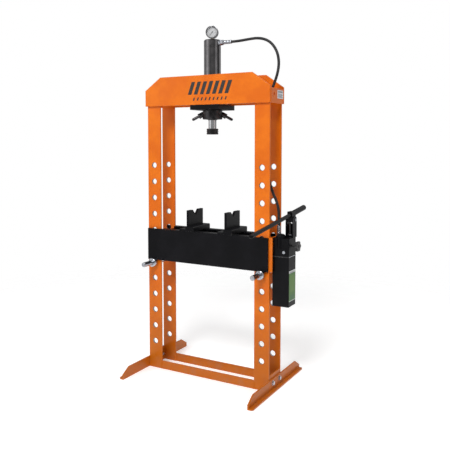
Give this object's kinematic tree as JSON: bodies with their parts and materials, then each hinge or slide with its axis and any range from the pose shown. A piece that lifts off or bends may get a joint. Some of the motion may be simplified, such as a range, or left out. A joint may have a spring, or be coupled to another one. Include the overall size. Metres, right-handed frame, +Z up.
{
  "type": "hydraulic shop press",
  "caption": "Floor-standing H-frame hydraulic press with a sliding ram cylinder, pin-held table, V-blocks and a side-mounted hand pump.",
  "frame": {"origin": "centre of the whole press seen from above, on the floor it stands on", "axes": "+Z up; +X to the right of a person facing the press, towards the pump; +Y from the front to the back"},
  "size_m": [0.909, 0.744, 1.8835],
  "materials": {
    "orange_paint": "semi-gloss powder coat",
    "black_paint": "satin powder coat",
    "dark_steel": "burnished, darkened",
    "chrome": "hard chrome",
    "zinc_steel": "zinc plated",
    "spring_steel": "oiled",
    "hose_rubber": "satin",
    "gauge_steel": "polished",
    "brass": "turned",
    "dial_white": "matt",
    "gauge_glass": "clear",
    "black_plastic": "moulded",
    "graphic_black": "printed film",
    "label_white": "printed film",
    "label_green": "printed film"
  },
  "bodies": {
    "root": {"upright_front_left": "orange_paint", "upright_front_right": "orange_paint", "upright_rear_left": "orange_paint", "upright_rear_right": "orange_paint", "foot_left": "orange_paint", "foot_right": "orange_paint", "foot_web_left": "orange_paint", "foot_web_right": "orange_paint", "crossbar_front": "orange_paint", "crossbar_rear": "orange_paint", "frame_bolts": "zinc_steel", "beam_plate_front": "orange_paint", "beam_plate_rear": "orange_paint", "beam_end_left": "orange_paint", "beam_end_right": "orange_paint", "beam_rail_front": "orange_paint", "beam_rail_rear": "orange_paint", "beam_emblem": "graphic_black", "end_label": "label_white", "pump_bracket": "orange_paint", "pump_reservoir": "black_paint", "pump_head": "black_paint", "pump_gasket": "zinc_steel", "pump_tower": "black_paint", "pump_fitting": "zinc_steel", "pump_plug": "zinc_steel", "pump_label": "label_green", "lever_pin": "zinc_steel", "hose": "hose_rubber"},
    "carriage": {"cylinder_tube": "dark_steel", "cylinder_cap": "dark_steel", "cylinder_gland": "dark_steel", "thrust_plate": "black_paint", "retainer_plate": "black_paint", "carriage_bolts": "zinc_steel", "hose_port": "zinc_steel", "gauge_stem": "brass", "gauge_case": "gauge_steel", "gauge_bezel": "gauge_steel", "gauge_dial": "dial_white", "gauge_lens": "gauge_glass", "return_spring": "spring_steel"},
    "needle": {"gauge_needle": "black_plastic"},
    "ring_nut": {"ring_nut": "dark_steel", "nut_levers": "dark_steel"},
    "ram": {"piston": "spring_steel", "piston_rod": "chrome", "press_head": "dark_steel"},
    "table": {"table_channel_front": "black_paint", "table_channel_rear": "black_paint", "table_spacer_left": "black_paint", "table_spacer_right": "black_paint"},
    "v_block_left": {"v_block_left": "black_paint"},
    "v_block_right": {"v_block_right": "black_paint"},
    "pin_left": {"pin_left": "zinc_steel"},
    "pin_right": {"pin_right": "zinc_steel"},
    "lever": {"lever_socket": "black_paint", "lever_bar": "black_paint"},
    "plunger": {"pump_plunger": "dark_steel"},
    "knob": {"release_knob": "black_plastic"}
  },
  "joints": [
    {"name": "cylinder_traverse", "type": "slide", "parent": "root", "child": "carriage", "axis": [1, 0, 0], "range_m": [-0.08, 0.08], "deforming": ["hose"]},
    {"name": "ram_stroke", "type": "slide", "parent": "carriage", "child": "ram", "axis": [0, 0, -1], "range_m": [0, 0.15], "stiffness_N_per_m": 1500, "springref_m": -0.08, "deforming": ["return_spring"]},
    {"name": "ring_nut_turn", "type": "hinge", "parent": "carriage", "child": "ring_nut", "pos_m": [-0.0525, 0.062, 1.3914], "axis": [0, 0, 1], "range_deg": [0, 270]},
    {"name": "gauge_needle_turn", "type": "hinge", "parent": "carriage", "child": "needle", "pos_m": [-0.0525, 0.062, 1.85], "axis": [-0.342, 0.9397, 0], "range_deg": [0, 270]},
    {"name": "table_lift", "type": "slide", "parent": "root", "child": "table", "axis": [0, 0, 1], "range_m": [0, 0.36]},
    {"name": "v_block_left_slide", "type": "slide", "parent": "table", "child": "v_block_left", "axis": [1, 0, 0], "range_m": [-0.12, 0.03]},
    {"name": "v_block_right_slide", "type": "slide", "parent": "table", "child": "v_block_right", "axis": [1, 0, 0], "range_m": [-0.04, 0.1]},
    {"name": "pin_left_pull", "type": "slide", "parent": "root", "child": "pin_left", "axis": [0, -1, 0], "range_m": [0, 0.179]},
    {"name": "pin_right_pull", "type": "slide", "parent": "root", "child": "pin_right", "axis": [0, -1, 0], "range_m": [0, 0.179]},
    {"name": "pump_lever", "type": "hinge", "parent": "root", "child": "lever", "pos_m": [0.3985, 0.0895, 0.878], "axis": [-1, 0, 0], "range_deg": [0, 40]},
    {"name": "plunger_travel", "type": "slide", "parent": "root", "child": "plunger", "axis": [0, 0, 1], "range_m": [0, 0.01102]},
    {"name": "release_knob_turn", "type": "hinge", "parent": "root", "child": "knob", "pos_m": [0.4065, 0.052, 0.75], "axis": [1, 0, 0], "range_deg": [0, 180]}
  ],
  "couplings": [
    {"joint": "plunger_travel", "follows": "pump_lever", "m_per_rad": 0.01507}
  ]
}
